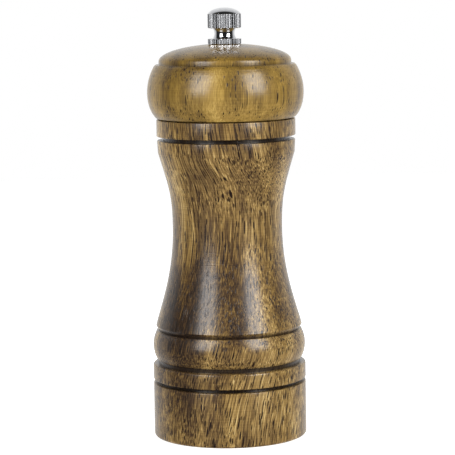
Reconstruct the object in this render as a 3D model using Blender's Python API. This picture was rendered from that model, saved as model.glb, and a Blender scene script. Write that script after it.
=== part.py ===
"""Wooden pepper mill with a ceramic grinder. Metres, +Z up, standing on z = 0 with its axis on Z.

A turned wooden body and head are held together by a square steel shaft with a knurled thumb nut on
top. The head turns the shaft through a square-holed plate. The shaft carries a ceramic rotor, which
grinds against a ceramic ring in a plastic housing in the foot of the body.
"""

from math import acos, atan2, cos, degrees, pi, radians, sin

import bmesh
import bpy

MM = 0.001

# Clearances
SEAT_GAP = 0.3 * MM  # between pieces that rest on each other
FIT_GAP = 0.3 * MM  # around a piece that fits in or runs through another

# Shaft and thread
SHAFT_SIDE = 5.0 * MM
THREAD_RADIUS = 2.0 * MM
NUT_BORE_SPARE = 1.2 * MM  # from the end of the shaft to the end of the nut's bore
SQUARE_END_DEPTH = 2.4 * MM  # from the nut's seat down to where the square section ends
LOWER_TIP_DROP = 0.7 * MM  # how far the shaft reaches below the housing
THREAD_ROOT = 2.0 * MM  # how far each threaded end runs into the square section

# Rotor, its hub, washer and nut
HUB_WALL = 0.9 * MM
ROTOR_WALL = 1.4 * MM
ROTOR_HEIGHT = 6.7 * MM
ROTOR_LAND_HEIGHT = 2.8 * MM  # the fine-grinding band at the rotor's foot
ROTOR_TOOTH = 0.6 * MM
GRIND_GAP = 0.7 * MM
WASHER_THICKNESS = 0.8 * MM
WASHER_REACH = 0.84 * MM  # how far the rotor's washer reaches under the ceramic
LOCK_NUT_HEIGHT = 2.2 * MM
LOCK_NUT_RIM = 1.7 * MM

# Stator and housing
HOUSING_RADIUS = 16.7 * MM
HOUSING_WALL = 2.2 * MM
STATOR_HEIGHT = 9.5 * MM
STATOR_WALL = 3.2 * MM
STATOR_TAPER = 1.0 * MM
STATOR_LIP = 2.0 * MM
STATOR_TOOTH = 0.5 * MM
TEETH = 18
TOOTH_TWIST = radians(14)
BRIDGE_HEIGHT = 4.7 * MM
BRIDGE_ARMS = 3
ARM_WIDTH = 3.0 * MM
BUSH_WALL = 1.3 * MM
BUSH_FLANGE_RIM = 1.2 * MM
BUSH_FLANGE_HEIGHT = 0.8 * MM
BRIDGE_HUB_WALL = 1.7 * MM

# Spring
SPRING_LENGTH = 5.6 * MM
SPRING_WIRE_RADIUS = 0.45 * MM
SPRING_TURNS = 4
SPRING_POINTS_PER_TURN = 12

# Retaining ring and the wood screws
FOOT_INSET = 0.4 * MM
RING_THICKNESS = 1.0 * MM
RING_BORE_MARGIN = 0.8 * MM  # by which the ring's bore clears the stator's bore
RING_LEDGE = 4.2 * MM
SCREWS = 3
SCREW_RADIUS = 1.0 * MM
SCREW_LENGTH = 7.0 * MM
SCREW_HEAD_RADIUS = 1.7 * MM
SCREW_HEAD_HEIGHT = 0.7 * MM
SCREW_HEAD_RIM = 0.3 * MM  # height of the head's upright rim
SCREW_CROWN_INSET = 0.5 * MM
SCREW_SLOT_WIDTH = 0.5 * MM
SCREW_SLOT_DEPTH = 0.35 * MM

# Drive plate and spigot
DRIVE_PLATE_RADIUS = 11.5 * MM
DRIVE_PLATE_THICKNESS = 1.3 * MM
SPIGOT_LENGTH = 7.0 * MM
SOCKET_DEPTH = 10.2 * MM

# Body, from the foot up
CHAMBER_RADIUS = 13.0 * MM
SOCKET_STEP = 2.0 * MM
FOOT_WALL = 4.1 * MM
FOOT_EDGE = 1.0 * MM
BASE_HEIGHT = 18.0 * MM
BASE_GROOVE_WIDTH = 1.2 * MM
BASE_GROOVE_DEPTH = 2.2 * MM
RING_HEIGHT = 5.1 * MM
RING_ROUNDING = 0.6 * MM
RING_GROOVE_WIDTH = 1.5 * MM
RING_GROOVE_DEPTH = 1.7 * MM
BEAD_INSET = 0.13 * MM
BEAD_HEIGHT = 9.5 * MM
BEAD_BULGE = 1.2 * MM
LIP_INSET = 1.2 * MM
LIP_HEIGHT = 1.8 * MM
LIP_GROOVE_DEPTH = 2.0 * MM
FLARE_HEIGHT = 32.1 * MM
FLARE_LEAN = 0.26  # outward run for each unit of fall, where the flare meets the lip
FLARE_PULLS = (0.22, 0.46)  # shares of the height over which the lip's and the waist's directions hold
WAIST_WALL = 5.1 * MM
RISE_HEIGHT = 25.0 * MM
RISE_LEAN = 0.3  # outward run for each unit of rise, where the waist meets the shoulder
RISE_PULLS = (0.47, 0.41)
SHOULDER_INSET = 0.15 * MM
SHOULDER_TAPER = 0.2 * MM
SHOULDER_HEIGHT = 4.1 * MM
NECK_GROOVE_WIDTH = 1.3 * MM
NECK_GROOVE_DEPTH = 1.9 * MM
COLLAR_WALL = 7.85 * MM
COLLAR_HEIGHT = 5.5 * MM
EDGE = 0.25 * MM  # small rounding along the turned edges

# Head, from the joint up
BALL_OVERHANG = 2.85 * MM
BALL_UNDERCUT = 3.0 * MM
BALL_OVAL_END = 62  # degrees below the ball's middle at which its lower oval is cut off
BALL_LOWER_HEIGHT = 8.4 * MM
BALL_UPPER_HEIGHT = 9.3 * MM
BALL_SHOULDER = 2.7 * MM
LEDGE_WIDTH = 1.25 * MM
STEP_HEIGHT = 1.0 * MM
DOME_HEIGHT = 5.5 * MM

# Thumb nut, from its seat up
NUT_RADIUS = 5.5 * MM
NUT_NECK_WALL = 1.0 * MM
NUT_FLANGE_HEIGHT = 1.6 * MM
NUT_NECK_HEIGHT = 3.4 * MM
NUT_NECK_FLARE = 0.5 * MM
NUT_DRUM_HEIGHT = 4.7 * MM
NUT_DOME_HEIGHT = 2.0 * MM
KNURLS = 24
KNURL_DEPTH = 0.25 * MM

# Facets round the axis
WOOD_STEPS = 40
METAL_STEPS = 24
SMALL_STEPS = 16
SCREW_STEPS = 10

# Radii that follow from the above
shaft_corner = SHAFT_SIDE / 2**0.5
shaft_hole_radius = shaft_corner + FIT_GAP
square_hole_side = SHAFT_SIDE + 2 * FIT_GAP
thread_hole_radius = THREAD_RADIUS + FIT_GAP
screw_hole_radius = SCREW_RADIUS + FIT_GAP
hub_radius = square_hole_side / 2**0.5 + HUB_WALL
rotor_bore = hub_radius + FIT_GAP
housing_bore = HOUSING_RADIUS - HOUSING_WALL
stator_radius = housing_bore - FIT_GAP
stator_bore = stator_radius - STATOR_WALL
rotor_radius = stator_bore - GRIND_GAP
throat_radius = housing_bore - STATOR_LIP
bush_radius = shaft_hole_radius + BUSH_WALL
bridge_hub_bore = bush_radius + FIT_GAP
bridge_hub_radius = bridge_hub_bore + BRIDGE_HUB_WALL
washer_radius = rotor_bore + WASHER_REACH
recess_radius = HOUSING_RADIUS + FIT_GAP
ring_recess_radius = recess_radius + RING_LEDGE
ring_screw_pitch = (recess_radius + ring_recess_radius) / 2
base_radius = ring_recess_radius + FOOT_WALL
bead_radius = base_radius - BEAD_INSET
lip_radius = base_radius - LIP_INSET
waist_radius = CHAMBER_RADIUS + WAIST_WALL
socket_radius = CHAMBER_RADIUS + SOCKET_STEP
spigot_radius = socket_radius - FIT_GAP
collar_radius = socket_radius + COLLAR_WALL
shoulder_radius = collar_radius - SHOULDER_INSET
ball_radius = collar_radius + BALL_OVERHANG
ball_foot_radius = ball_radius - BALL_UNDERCUT
ledge_radius = ball_radius - BALL_SHOULDER
dome_radius = ledge_radius - LEDGE_WIDTH
plate_screw_pitch = (shaft_hole_radius + spigot_radius) / 2
nut_neck_radius = thread_hole_radius + NUT_NECK_WALL
nut_seat_radius = NUT_RADIUS + EDGE

# Heights that follow from the above, from the foot to the thumb nut
ring_bottom = FOOT_INSET + SCREW_HEAD_HEIGHT + SEAT_GAP
housing_bottom = ring_bottom + RING_THICKNESS + SEAT_GAP
stator_top = housing_bottom + STATOR_HEIGHT
shaft_bottom = housing_bottom - LOWER_TIP_DROP
lock_nut_bottom = shaft_bottom + SEAT_GAP
rotor_washer_bottom = lock_nut_bottom + LOCK_NUT_HEIGHT + SEAT_GAP
rotor_bottom = rotor_washer_bottom + WASHER_THICKNESS + SEAT_GAP
rotor_top = rotor_bottom + ROTOR_HEIGHT
spring_bottom = rotor_top + SEAT_GAP
thrust_washer_bottom = spring_bottom + SPRING_LENGTH + SEAT_GAP
bush_bottom = thrust_washer_bottom + WASHER_THICKNESS + SEAT_GAP
bridge_bottom = bush_bottom + BUSH_FLANGE_HEIGHT + SEAT_GAP
housing_top = bridge_bottom + BRIDGE_HEIGHT
recess_top = housing_top + SEAT_GAP
ring_groove_z = BASE_HEIGHT + BASE_GROOVE_WIDTH + RING_HEIGHT
bead_bottom = ring_groove_z + RING_GROOVE_WIDTH
bead_top = bead_bottom + BEAD_HEIGHT
lip_top = bead_top + LIP_HEIGHT
waist_height = lip_top + FLARE_HEIGHT
shoulder_bottom = waist_height + RISE_HEIGHT
shoulder_top = shoulder_bottom + SHOULDER_HEIGHT
collar_bottom = shoulder_top + NECK_GROOVE_WIDTH
body_top = collar_bottom + COLLAR_HEIGHT
socket_bottom = body_top - SOCKET_DEPTH
head_bottom = body_top + SEAT_GAP
spigot_bottom = head_bottom - SPIGOT_LENGTH
plate_bottom = spigot_bottom - SEAT_GAP - DRIVE_PLATE_THICKNESS
ball_middle = head_bottom + BALL_LOWER_HEIGHT
ledge_height = ball_middle + BALL_UPPER_HEIGHT
dome_bottom = ledge_height + STEP_HEIGHT
dome_cut = acos(nut_seat_radius / dome_radius)  # angle at which the nut's seat cuts the dome
head_top = dome_bottom + DOME_HEIGHT * sin(dome_cut)
nut_bottom = head_top + SEAT_GAP
nut_neck_bottom = nut_bottom + NUT_FLANGE_HEIGHT
drum_bottom = nut_neck_bottom + NUT_NECK_HEIGHT
drum_top = drum_bottom + NUT_DRUM_HEIGHT
nut_top = drum_top + NUT_DOME_HEIGHT
shaft_top = drum_top - NUT_BORE_SPARE
square_top = head_top - SQUARE_END_DEPTH


# Outlines: lists of (radius, height), read down the outer side and up the inner side


def oval(centre, width, height, start, end, steps):
    """Points along an upright oval, from one angle to another in degrees (0 is outwards, 90 is up)."""
    angles = [radians(start + (end - start) * i / steps) for i in range(steps + 1)]
    return [(centre[0] + width * cos(a), centre[1] + height * sin(a)) for a in angles]


def bulge(radius, bottom, top, drop, steps):
    """A round swelling between two heights, from the top down, that falls by drop at both ends."""
    half = (top - bottom) / 2
    curve = (half**2 + drop**2) / (2 * drop)
    heights = [half * (1 - 2 * i / steps) for i in range(steps + 1)]
    middle = (top + bottom) / 2
    return [(radius - curve + (curve**2 - h**2) ** 0.5, middle + h) for h in heights]


def sweep(rim, lean, waist, pulls, steps):
    """The points between a rim, where the curve leans, and a waist, where it is upright."""
    rise = waist[1] - rim[1]
    rim_handle = (rim[0] + lean * pulls[0] * rise, rim[1] + pulls[0] * rise)
    waist_handle = (waist[0], waist[1] - pulls[1] * rise)
    points = []
    for i in range(1, steps):
        t = i / steps
        weights = ((1 - t) ** 3, 3 * t * (1 - t) ** 2, 3 * t * t * (1 - t), t**3)
        corners = (rim, rim_handle, waist_handle, waist)
        points.append(tuple(sum(w * c[k] for w, c in zip(weights, corners)) for k in (0, 1)))
    return points


def groove(top, bottom, outer_above, outer_below, depth):
    """A turned groove with softened lips, from its upper lip down to its lower one."""
    floor = min(outer_above, outer_below) - depth
    return [
        (outer_above, top + EDGE),
        (outer_above - EDGE, top),
        (floor, top),
        (floor, bottom),
        (outer_below - EDGE, bottom),
        (outer_below, bottom - EDGE),
    ]


def body_outline():
    collar = [
        (socket_radius + EDGE, body_top),
        (collar_radius - EDGE, body_top),
        (collar_radius, body_top - EDGE),
    ]
    neck_groove = groove(collar_bottom, shoulder_top, collar_radius, shoulder_radius, NECK_GROOVE_DEPTH)
    shoulder = (shoulder_radius - SHOULDER_TAPER, shoulder_bottom)
    waist = (waist_radius, waist_height)
    lip = (lip_radius, lip_top)
    rise = sweep(shoulder, RISE_LEAN, waist, RISE_PULLS, 7)
    flare = sweep(lip, -FLARE_LEAN, waist, FLARE_PULLS, 7)
    flare.reverse()
    lip_groove = [
        (lip_radius, lip_top - EDGE),
        (base_radius - LIP_GROOVE_DEPTH, bead_top + EDGE),
    ]
    bead = bulge(bead_radius, bead_bottom, bead_top, BEAD_BULGE, 7)
    ring_groove_floor = base_radius - RING_GROOVE_DEPTH
    ring = [
        (ring_groove_floor, bead_bottom - EDGE),
        (ring_groove_floor, ring_groove_z + EDGE),
        (base_radius - RING_ROUNDING, ring_groove_z),
        (base_radius - EDGE, ring_groove_z - RING_ROUNDING),
    ]
    ring_bottom_z = BASE_HEIGHT + BASE_GROOVE_WIDTH
    base_groove = groove(ring_bottom_z, BASE_HEIGHT, base_radius, base_radius, BASE_GROOVE_DEPTH)
    foot = [
        (base_radius, FOOT_EDGE),
        (base_radius - FOOT_EDGE, 0),
        (ring_recess_radius, 0),
        (ring_recess_radius, housing_bottom),
        (recess_radius, housing_bottom),
        (recess_radius, recess_top),
        (CHAMBER_RADIUS, recess_top),
        (CHAMBER_RADIUS, socket_bottom),
        (socket_radius, socket_bottom),
        (socket_radius, body_top - EDGE),
    ]
    upper = collar + neck_groove + [shoulder] + rise + [waist] + flare + [lip]
    return upper + lip_groove + bead + ring + base_groove + foot


def head_outline():
    dome = oval((0, dome_bottom), dome_radius, DOME_HEIGHT, degrees(dome_cut), 0, 6)
    ledge = [(dome_radius, ledge_height), (ledge_radius, ledge_height - EDGE / 2)]
    ball = bulge(ball_radius, ball_middle - BALL_UPPER_HEIGHT, ledge_height, BALL_SHOULDER, 10)
    upper_ball = ball[1:5]
    end = radians(BALL_OVAL_END)
    oval_width = BALL_UNDERCUT / (1 - cos(end))
    oval_height = BALL_LOWER_HEIGHT / sin(end)
    centre = (ball_radius - oval_width, ball_middle)
    lower_ball = oval(centre, oval_width, oval_height, 0, -BALL_OVAL_END, 6)
    underside = [
        (ball_foot_radius, head_bottom + EDGE),
        (ball_foot_radius - EDGE, head_bottom),
        (spigot_radius, head_bottom),
        (spigot_radius, spigot_bottom + EDGE),
        (spigot_radius - EDGE, spigot_bottom),
        (shaft_hole_radius, spigot_bottom),
        (shaft_hole_radius, head_top),
    ]
    return dome + ledge + upper_ball + lower_ball[:-1] + underside


def rotor_outline():
    top_radius = rotor_bore + ROTOR_WALL
    return [
        (rotor_bore, rotor_top),
        (top_radius, rotor_top),
        (rotor_radius - STATOR_TAPER / 2, rotor_bottom + ROTOR_LAND_HEIGHT),
        (rotor_radius, rotor_bottom + EDGE),
        (rotor_radius - EDGE, rotor_bottom),
        (rotor_bore, rotor_bottom),
    ]


def stator_outline():
    return [
        (stator_bore - STATOR_TAPER, stator_top),
        (stator_radius, stator_top),
        (stator_radius, housing_bottom),
        (stator_bore + EDGE, housing_bottom),
        (stator_bore, housing_bottom + EDGE),
        (stator_bore - STATOR_TAPER / 2, (housing_bottom + stator_top) / 2),
    ]


def housing_outline():
    shelf = stator_top + SEAT_GAP
    return [
        (bridge_hub_bore, housing_top),
        (HOUSING_RADIUS, housing_top),
        (HOUSING_RADIUS, housing_bottom),
        (housing_bore, housing_bottom),
        (housing_bore, shelf),
        (throat_radius, shelf),
        (throat_radius, bridge_bottom),
        (bridge_hub_bore, bridge_bottom),
    ]


def nut_outline():
    """The nut at the tops of its knurls. The points at NUT_RADIUS are the knurled ones."""
    rim = NUT_RADIUS - KNURL_DEPTH
    dome = oval((0, drum_top), rim, NUT_DOME_HEIGHT, 90, 0, 5)
    drum = [
        (NUT_RADIUS, drum_top - EDGE),
        (NUT_RADIUS, drum_bottom + EDGE),
        (rim, drum_bottom),
    ]
    neck = [
        (nut_neck_radius + NUT_NECK_FLARE * (2 * i / 4 - 1) ** 2, drum_bottom - NUT_NECK_HEIGHT * i / 4)
        for i in range(5)
    ]
    flange = [
        (rim, nut_neck_bottom),
        (NUT_RADIUS, nut_neck_bottom - EDGE),
        (NUT_RADIUS, nut_bottom + EDGE),
        (rim, nut_bottom),
    ]
    bore = [(thread_hole_radius, nut_bottom), (thread_hole_radius, drum_top), (0, drum_top)]
    return dome + drum + neck + flange + bore


def screw_outline():
    """A pan-head wood screw pointing up, with its head's bearing face at zero height."""
    point = SCREW_LENGTH - 2 * SCREW_RADIUS
    return [
        (0, SCREW_LENGTH),
        (SCREW_RADIUS, point),
        (SCREW_RADIUS, 0),
        (SCREW_HEAD_RADIUS, 0),
        (SCREW_HEAD_RADIUS, -SCREW_HEAD_RIM),
        (SCREW_HEAD_RADIUS - SCREW_CROWN_INSET, -SCREW_HEAD_HEIGHT),
        (0, -SCREW_HEAD_HEIGHT),
    ]


# Making solids


def material(name, colour, roughness, metallic=0.0):
    made = bpy.data.materials.new(name)
    made.use_nodes = True
    shader = made.node_tree.nodes["Principled BSDF"]
    shader.inputs["Base Color"].default_value = (*colour, 1)
    shader.inputs["Roughness"].default_value = roughness
    shader.inputs["Metallic"].default_value = metallic
    return made


def add_object(name, shape, parent):
    """Turns a bmesh into a scene object, with crisp edges on an otherwise smooth skin."""
    bmesh.ops.remove_doubles(shape, verts=shape.verts, dist=1e-7)
    bmesh.ops.recalc_face_normals(shape, faces=shape.faces)
    mesh = bpy.data.meshes.new(name)
    shape.to_mesh(mesh)
    shape.free()
    mesh.shade_smooth()
    mesh.set_sharp_from_angle(angle=radians(35))
    made = bpy.data.objects.new(name, mesh)
    bpy.context.scene.collection.objects.link(made)
    made.parent = parent
    return made


def spun(outline, steps):
    """A bmesh of an outline turned about Z. An outline that meets the axis is left open there."""
    shape = bmesh.new()
    corners = [shape.verts.new((radius, 0, height)) for radius, height in outline]
    pairs = list(zip(corners, corners[1:]))
    if outline[0][0] > 0:
        pairs.append((corners[-1], corners[0]))
    edges = [shape.edges.new(pair) for pair in pairs]
    bmesh.ops.spin(
        shape,
        geom=corners + edges,
        cent=(0, 0, 0),
        axis=(0, 0, 1),
        angle=2 * pi,
        steps=steps,
        use_merge=True,
    )
    bmesh.ops.remove_doubles(shape, verts=shape.verts, dist=1e-7)
    return shape


def turned(name, outline, steps, finish, parent):
    made = add_object(name, spun(outline, steps), parent)
    made.data.materials.append(finish)
    return made


def ridge(shape, steps, chosen, depth, twist=0, bottom=0, top=1):
    """Moves every other meridian of the chosen skin outwards by depth, and winds them all with height."""
    for vert in filter(chosen, shape.verts):
        angle = atan2(vert.co.y, vert.co.x)
        odd = round(angle / (2 * pi) * steps) % 2
        radius = vert.co.xy.length + depth * odd
        angle += twist * (vert.co.z - bottom) / (top - bottom)
        vert.co.xy = (radius * cos(angle), radius * sin(angle))


def tool(name, shape):
    """A hidden solid that shapes a piece."""
    made = add_object(name, shape, None)
    made.hide_render = True
    made.display_type = "WIRE"
    return made


def combine(target, other, operation):
    step = target.modifiers.new(other.name, "BOOLEAN")
    step.operation = operation
    step.solver = "EXACT"
    step.object = other


def cut(target, cutter):
    combine(target, cutter, "DIFFERENCE")


def block(size, centre):
    shape = bmesh.new()
    bmesh.ops.create_cube(shape, size=1)
    bmesh.ops.scale(shape, vec=size, verts=shape.verts)
    bmesh.ops.translate(shape, vec=centre, verts=shape.verts)
    return shape


def rod(radius, bottom, top, steps, centre=(0, 0)):
    shape = spun([(0, top), (radius, top), (radius, bottom), (0, bottom)], steps)
    bmesh.ops.translate(shape, vec=(*centre, 0), verts=shape.verts)
    return shape


def screw_places(pitch, turn):
    angles = [turn + 2 * pi * i / SCREWS for i in range(SCREWS)]
    return [(pitch * cos(a), pitch * sin(a)) for a in angles]


def screw_holes(name, pitch, turn, bottom, top):
    """One cutter for all the holes of a ring of screws."""
    holes = bmesh.new()
    for place in screw_places(pitch, turn):
        hole = rod(screw_hole_radius, bottom, top, SCREW_STEPS, place)
        mesh = bpy.data.meshes.new(name)
        hole.to_mesh(mesh)
        hole.free()
        holes.from_mesh(mesh)
        bpy.data.meshes.remove(mesh)
    return tool(name, holes)


def windows(name, inner, outer, bottom, top):
    """Cutters for the gaps between the bridge's arms: ring sectors that leave straight-sided arms."""
    shape = bmesh.new()
    steps = 12
    for arm in range(BRIDGE_ARMS):
        start = pi / 2 + 2 * pi * arm / BRIDGE_ARMS
        end = start + 2 * pi / BRIDGE_ARMS
        floor = []
        for radius, reverse in ((inner, False), (outer, True)):
            margin = ARM_WIDTH / 2 / radius
            angles = [start + margin + (end - start - 2 * margin) * i / steps for i in range(steps + 1)]
            if reverse:
                angles.reverse()
            floor += [shape.verts.new((radius * cos(a), radius * sin(a), bottom)) for a in angles]
        face = shape.faces.new(floor)
        grown = bmesh.ops.extrude_face_region(shape, geom=[face])["geom"]
        raised = [item for item in grown if isinstance(item, bmesh.types.BMVert)]
        bmesh.ops.translate(shape, vec=(0, 0, top - bottom), verts=raised)
    return tool(name, shape)


# The pieces


def add_body(parent, wood, ring_holes):
    body = turned("body", body_outline(), WOOD_STEPS, wood, parent)
    cut(body, ring_holes)


def add_head(parent, wood, plate_holes):
    head = turned("head", head_outline(), WOOD_STEPS, wood, parent)
    cut(head, plate_holes)


def add_thumb_nut(parent, chrome):
    steps = 2 * KNURLS
    shape = spun(nut_outline(), steps)

    def knurled(vert):
        return vert.co.xy.length > NUT_RADIUS - KNURL_DEPTH / 2

    ridge(shape, steps, knurled, -KNURL_DEPTH)
    nut = add_object("thumb_nut", shape, parent)
    nut.data.materials.append(chrome)


def add_shaft(parent, steel):
    height = square_top - rotor_bottom
    square = block((SHAFT_SIDE, SHAFT_SIDE, height), (0, 0, rotor_bottom + height / 2))
    shaft = add_object("shaft", square, parent)
    shaft.data.materials.append(steel)
    for name, bottom, top in (
        ("upper_thread", square_top - THREAD_ROOT, shaft_top),
        ("lower_thread", shaft_bottom, rotor_bottom + THREAD_ROOT),
    ):
        combine(shaft, tool(name, rod(THREAD_RADIUS, bottom, top, SMALL_STEPS)), "UNION")


def add_rotor(parent, ceramic):
    steps = 2 * TEETH
    shape = spun(rotor_outline(), steps)

    def toothed(vert):
        return vert.co.xy.length > rotor_bore + ROTOR_WALL / 2

    ridge(shape, steps, toothed, -ROTOR_TOOTH, TOOTH_TWIST, rotor_bottom, rotor_top)
    rotor = add_object("rotor", shape, parent)
    rotor.data.materials.append(ceramic)


def add_stator(parent, ceramic):
    steps = 2 * TEETH
    shape = spun(stator_outline(), steps)

    def toothed(vert):
        return vert.co.xy.length < stator_radius - STATOR_WALL / 2

    ridge(shape, steps, toothed, STATOR_TOOTH, -TOOTH_TWIST, housing_bottom, stator_top)
    stator = add_object("stator", shape, parent)
    stator.data.materials.append(ceramic)


def add_housing(parent, plastic):
    housing = turned("stator_housing", housing_outline(), WOOD_STEPS, plastic, parent)
    gaps = windows("windows", bridge_hub_radius, throat_radius, bridge_bottom - MM, housing_top + MM)
    cut(housing, gaps)


def add_bush(parent, bronze):
    flange_top = bush_bottom + BUSH_FLANGE_HEIGHT
    outline = [
        (shaft_hole_radius, housing_top),
        (bush_radius, housing_top),
        (bush_radius, flange_top),
        (bush_radius + BUSH_FLANGE_RIM, flange_top),
        (bush_radius + BUSH_FLANGE_RIM, bush_bottom),
        (shaft_hole_radius, bush_bottom),
    ]
    turned("bearing_bush", outline, METAL_STEPS, bronze, parent)


def add_plate(name, radius, bottom, thickness, square_hole, finish, parent):
    """A flat round plate with the shaft's square hole."""
    top = bottom + thickness
    plate = add_object(name, rod(radius, bottom, top, METAL_STEPS), parent)
    plate.data.materials.append(finish)
    cut(plate, square_hole)
    return plate


def add_rotor_washer(parent, steel):
    top = rotor_washer_bottom + WASHER_THICKNESS
    outline = [
        (thread_hole_radius, top),
        (washer_radius, top),
        (washer_radius, rotor_washer_bottom),
        (thread_hole_radius, rotor_washer_bottom),
    ]
    turned("rotor_washer", outline, SMALL_STEPS, steel, parent)


def add_rotor_nut(parent, steel):
    corner = (thread_hole_radius + LOCK_NUT_RIM) / cos(pi / 6)
    top = lock_nut_bottom + LOCK_NUT_HEIGHT
    nut = add_object("rotor_nut", rod(corner, lock_nut_bottom, top, 6), parent)
    nut.data.materials.append(steel)
    bore = rod(thread_hole_radius, lock_nut_bottom - MM, top + MM, SMALL_STEPS)
    cut(nut, tool("rotor_nut_bore", bore))


def add_retaining_ring(parent, steel, ring_holes):
    top = ring_bottom + RING_THICKNESS
    bore = stator_bore + RING_BORE_MARGIN
    rim = ring_recess_radius - FIT_GAP
    outline = [(bore, top), (rim, top), (rim, ring_bottom), (bore, ring_bottom)]
    ring = turned("retaining_ring", outline, WOOD_STEPS, steel, parent)
    cut(ring, ring_holes)


def add_screws(name, pitch, turn, bearing_height, parent, steel):
    """A ring of identical screws, driven upwards, each slotted across its head."""
    for number, (x, y) in enumerate(screw_places(pitch, turn), 1):
        screw = turned(f"{name}_{number}", screw_outline(), SCREW_STEPS, steel, parent)
        screw.location = (x, y, bearing_height)
        size = (3 * SCREW_HEAD_RADIUS, SCREW_SLOT_WIDTH, 2 * SCREW_SLOT_DEPTH)
        slot = tool(f"{name}_{number}_slot", block(size, (0, 0, -SCREW_HEAD_HEIGHT)))
        slot.location = screw.location
        cut(screw, slot)


def add_spring(parent, steel):
    """A coil round the shaft between the rotor's hub and the thrust washer."""
    rise = SPRING_LENGTH - 2 * SPRING_WIRE_RADIUS
    coil_radius = shaft_corner + 2 * FIT_GAP + SPRING_WIRE_RADIUS
    count = SPRING_TURNS * SPRING_POINTS_PER_TURN
    curve = bpy.data.curves.new("spring", "CURVE")
    curve.dimensions = "3D"
    curve.bevel_depth = SPRING_WIRE_RADIUS
    curve.bevel_resolution = 1
    curve.use_fill_caps = True
    path = curve.splines.new("POLY")
    path.points.add(count)
    for i, point in enumerate(path.points):
        angle = 2 * pi * i / SPRING_POINTS_PER_TURN
        height = spring_bottom + SPRING_WIRE_RADIUS + rise * i / count
        point.co = (coil_radius * cos(angle), coil_radius * sin(angle), height, 1)
    curve.materials.append(steel)
    spring = bpy.data.objects.new("spring", curve)
    bpy.context.scene.collection.objects.link(spring)
    spring.parent = parent


def axis(name, parent=None):
    """An empty on the mill's axis, which a group of pieces hangs on and turns or slides with."""
    made = bpy.data.objects.new(name, None)
    bpy.context.scene.collection.objects.link(made)
    made.empty_display_size = 5 * MM
    made.parent = parent
    return made


def clear_scene():
    for old in list(bpy.data.objects):
        bpy.data.objects.remove(old)


def build():
    clear_scene()
    wood = material("stained_wood", (0.19, 0.10, 0.032), 0.35)
    chrome = material("chrome", (0.83, 0.83, 0.84), 0.12, 1)
    steel = material("bright_steel", (0.60, 0.60, 0.61), 0.3, 1)
    bronze = material("bearing_bronze", (0.48, 0.30, 0.12), 0.35, 1)
    ceramic = material("white_ceramic", (0.78, 0.77, 0.73), 0.4)
    plastic = material("white_plastic", (0.72, 0.72, 0.70), 0.45)

    mill = axis("mill_frame")
    drive = axis("head_turn_axis", mill)
    grinder = axis("grind_adjust_axis", drive)
    cap = axis("head_lift_axis", drive)
    knob = axis("nut_turn_axis", cap)

    square = block((square_hole_side, square_hole_side, nut_top), (0, 0, nut_top / 2))
    square_hole = tool("square_hole", square)
    ring_holes = screw_holes(
        "ring_screw_holes",
        ring_screw_pitch,
        pi / 6,
        FOOT_INSET,
        ring_bottom + SCREW_LENGTH + SEAT_GAP,
    )
    plate_holes = screw_holes(
        "plate_screw_holes",
        plate_screw_pitch,
        pi / 2,
        plate_bottom - MM,
        plate_bottom + SCREW_LENGTH + SEAT_GAP,
    )

    add_body(mill, wood, ring_holes)
    add_housing(mill, plastic)
    add_stator(mill, ceramic)
    add_bush(mill, bronze)
    add_retaining_ring(mill, steel, ring_holes)
    add_screws("retaining_screw", ring_screw_pitch, pi / 6, ring_bottom - SEAT_GAP, mill, steel)

    washer_rim = bush_radius + BUSH_FLANGE_RIM
    washer_bottom = thrust_washer_bottom
    add_plate("thrust_washer", washer_rim, washer_bottom, WASHER_THICKNESS, square_hole, steel, drive)
    add_spring(drive, steel)

    add_shaft(grinder, steel)
    add_plate("rotor_hub", hub_radius, rotor_bottom, ROTOR_HEIGHT, square_hole, plastic, grinder)
    add_rotor(grinder, ceramic)
    add_rotor_washer(grinder, steel)
    add_rotor_nut(grinder, steel)

    add_head(cap, wood, plate_holes)
    plate = add_plate(
        "drive_plate",
        DRIVE_PLATE_RADIUS,
        plate_bottom,
        DRIVE_PLATE_THICKNESS,
        square_hole,
        steel,
        cap,
    )
    cut(plate, plate_holes)
    add_screws("drive_plate_screw", plate_screw_pitch, pi / 2, plate_bottom - SEAT_GAP, cap, steel)
    add_thumb_nut(knob, chrome)


build()
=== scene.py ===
from math import acos, atan2, cos, degrees, pi, radians, sin, sqrt

import bpy
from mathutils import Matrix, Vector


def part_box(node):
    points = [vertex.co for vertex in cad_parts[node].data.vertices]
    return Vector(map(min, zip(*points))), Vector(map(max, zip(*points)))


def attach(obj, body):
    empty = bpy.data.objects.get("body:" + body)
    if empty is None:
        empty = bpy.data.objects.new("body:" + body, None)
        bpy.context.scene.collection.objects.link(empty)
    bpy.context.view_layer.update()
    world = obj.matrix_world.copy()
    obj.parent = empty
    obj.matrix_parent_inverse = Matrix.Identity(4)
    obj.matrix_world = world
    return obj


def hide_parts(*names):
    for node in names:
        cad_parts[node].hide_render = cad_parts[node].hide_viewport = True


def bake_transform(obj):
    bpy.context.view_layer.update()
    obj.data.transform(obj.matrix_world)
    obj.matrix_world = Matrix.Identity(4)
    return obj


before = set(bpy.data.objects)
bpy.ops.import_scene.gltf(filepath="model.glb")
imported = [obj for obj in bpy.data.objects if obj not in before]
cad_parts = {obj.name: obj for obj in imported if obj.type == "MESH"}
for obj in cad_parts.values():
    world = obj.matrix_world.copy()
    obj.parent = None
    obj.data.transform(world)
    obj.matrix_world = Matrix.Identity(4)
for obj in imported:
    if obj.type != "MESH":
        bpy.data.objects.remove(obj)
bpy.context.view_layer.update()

MM = 0.001


# Body. The real one is turned from one blank of open-pored hardwood, stained to a
# golden brown and lacquered, then bored through from the foot for the peppercorns. The
# head rests on its collar, and the grinder is screwed into the wide bore in its foot.

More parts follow.
